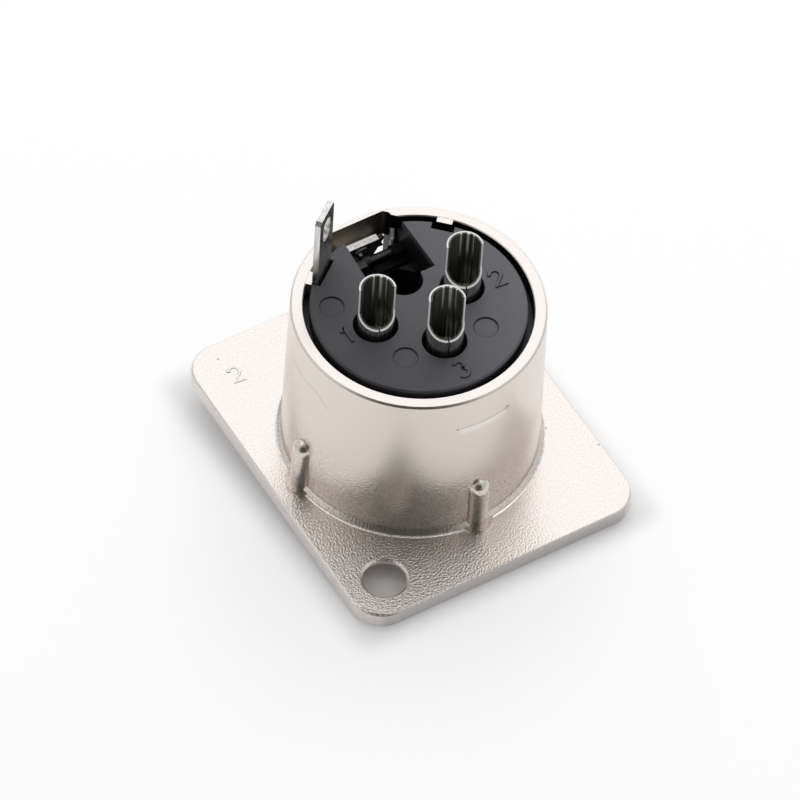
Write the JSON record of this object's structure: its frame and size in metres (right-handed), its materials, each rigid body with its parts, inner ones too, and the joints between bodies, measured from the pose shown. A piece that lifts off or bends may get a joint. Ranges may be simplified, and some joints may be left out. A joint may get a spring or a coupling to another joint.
{
  "type": "xlr panel socket",
  "caption": "Round panel socket with a square flange, solder cups on the back, a solder tab for the shell and a sprung latch for the plug.",
  "frame": {"origin": "barrel axis at the rear face of the flange, which seats on the panel", "axes": "+Z along the barrel towards the solder cups, +Y towards the latch, +X towards contact 2"},
  "size_m": [0.026, 0.031, 0.0277],
  "materials": {
    "nickel_casting": "satin nickel plating on cast zinc, finely pebbled",
    "insert_plastic": "matte dark grey moulded plastic",
    "contact_plating": "bright silver plating on rolled brass sheet",
    "tab_plating": "tin plating on stamped brass",
    "lever_steel": "nickel-plated stamped steel",
    "pin_steel": "plain drawn steel",
    "spring_wire": "bright spring wire"
  },
  "bodies": {
    "base": {"shell": "nickel_casting", "insert": "insert_plastic", "contact_1": "contact_plating", "contact_2": "contact_plating", "contact_3": "contact_plating", "ground_tab": "tab_plating", "latch_pin": "pin_steel", "latch_spring": "spring_wire"},
    "latch": {"latch_lever": "lever_steel"}
  },
  "joints": [
    {"name": "latch_press", "type": "hinge", "parent": "base", "child": "latch", "pos_m": [0, 0.00793, 0.01329], "axis": [1, 0, 0], "range_deg": [0, 7.5], "stiffness_Nm_per_rad": 0.15, "springref_deg": -8.59, "deforming": ["latch_spring"]}
  ]
}
